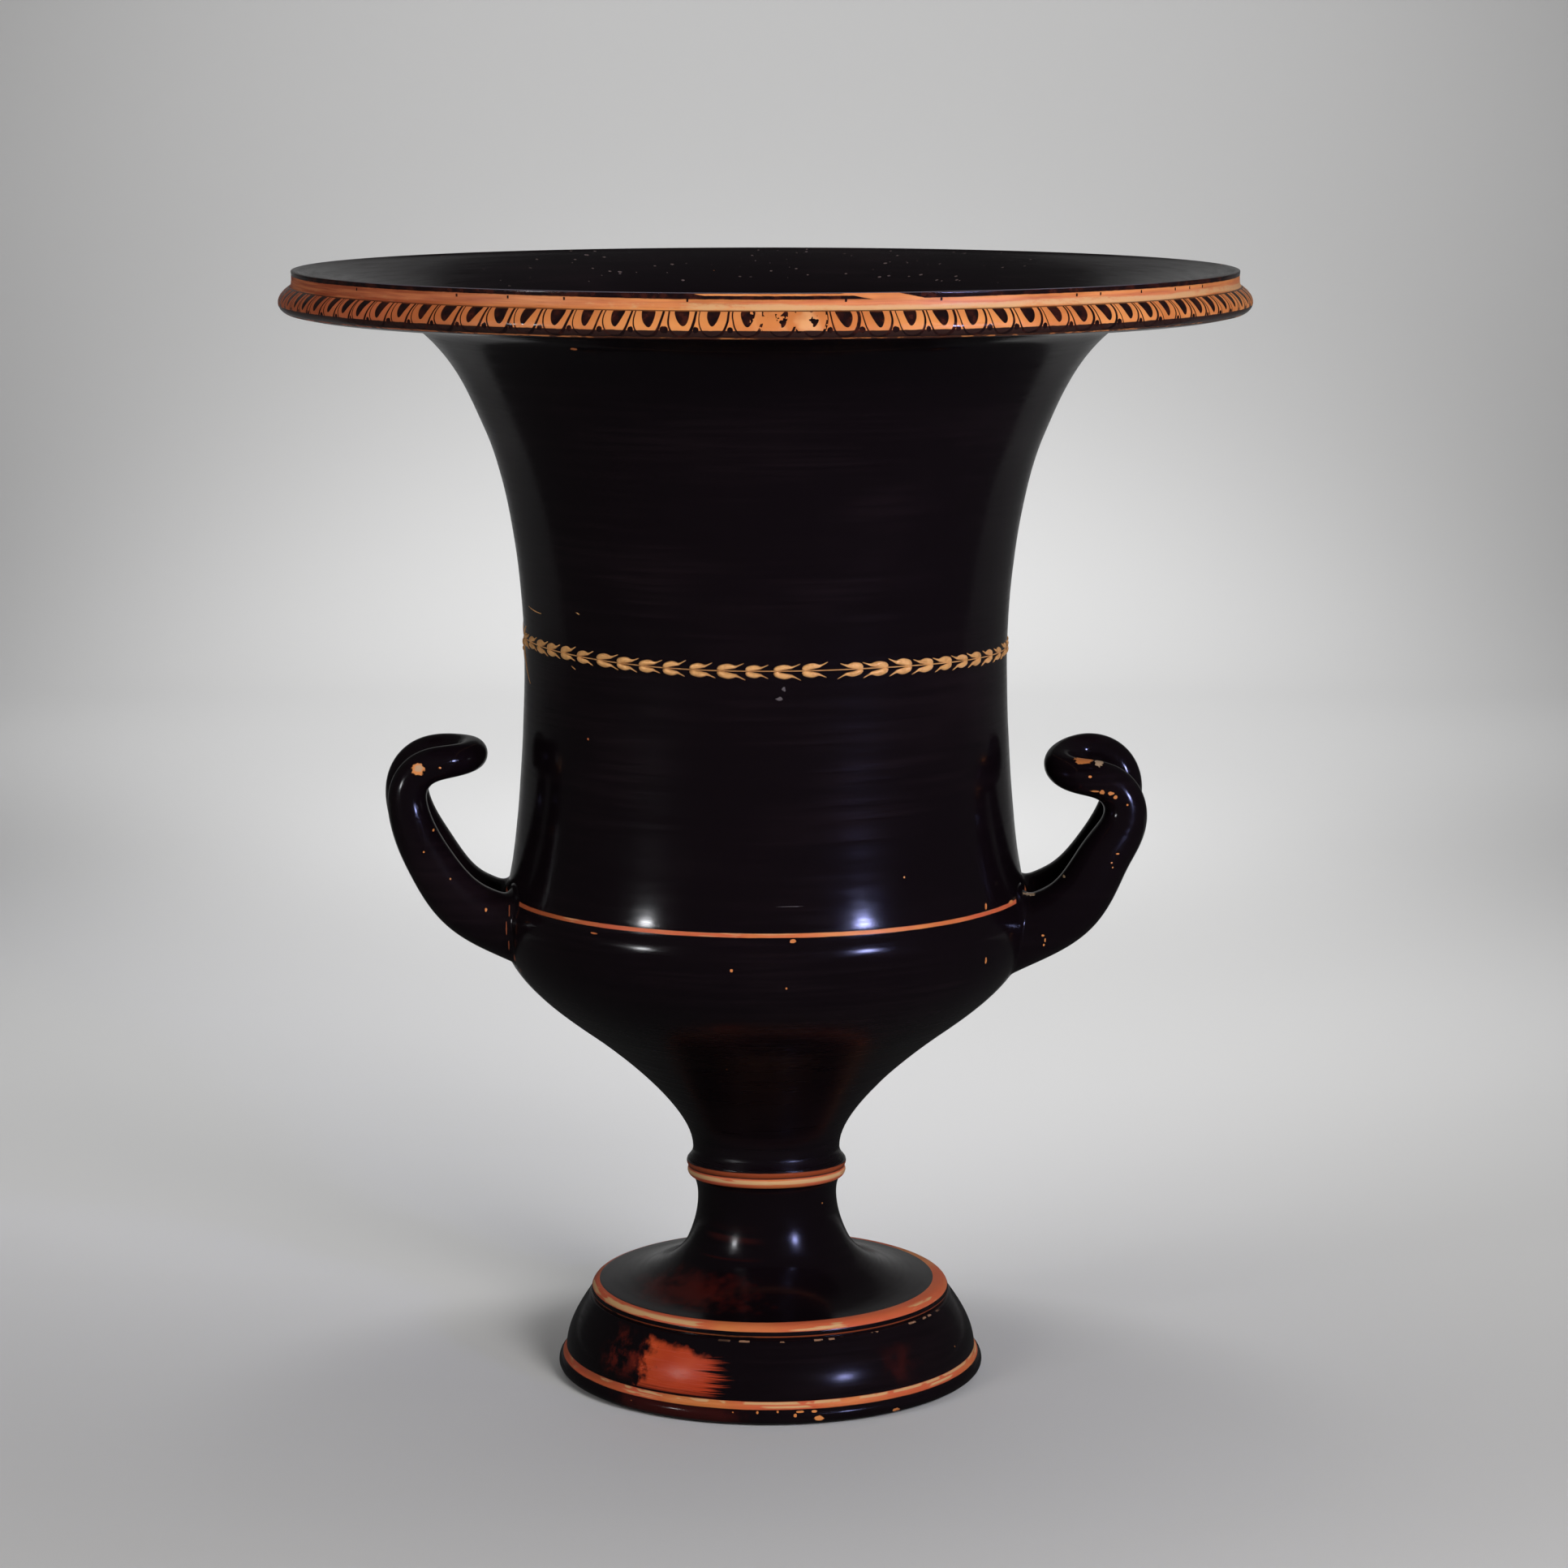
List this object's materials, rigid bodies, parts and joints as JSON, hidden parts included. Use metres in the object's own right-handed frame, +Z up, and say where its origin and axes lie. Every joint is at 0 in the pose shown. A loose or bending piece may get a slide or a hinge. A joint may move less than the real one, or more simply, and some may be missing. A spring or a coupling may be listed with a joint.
{
  "type": "greek calyx krater",
  "caption": "Tall bell-mouthed fired clay bowl on a moulded foot, with upturned loop handles, for mixing or displaying.",
  "frame": {"origin": "centre of the ring under the foot, on the surface it stands on", "axes": "+Z up along the pot's axis, handles towards +X and -X, front towards -Y"},
  "size_m": [0.4792, 0.4792, 0.5605],
  "materials": {
    "black_gloss": "glossy black slip on orange fired clay"
  },
  "bodies": {
    "root": {"krater": "black_gloss"}
  },
  "joints": []
}
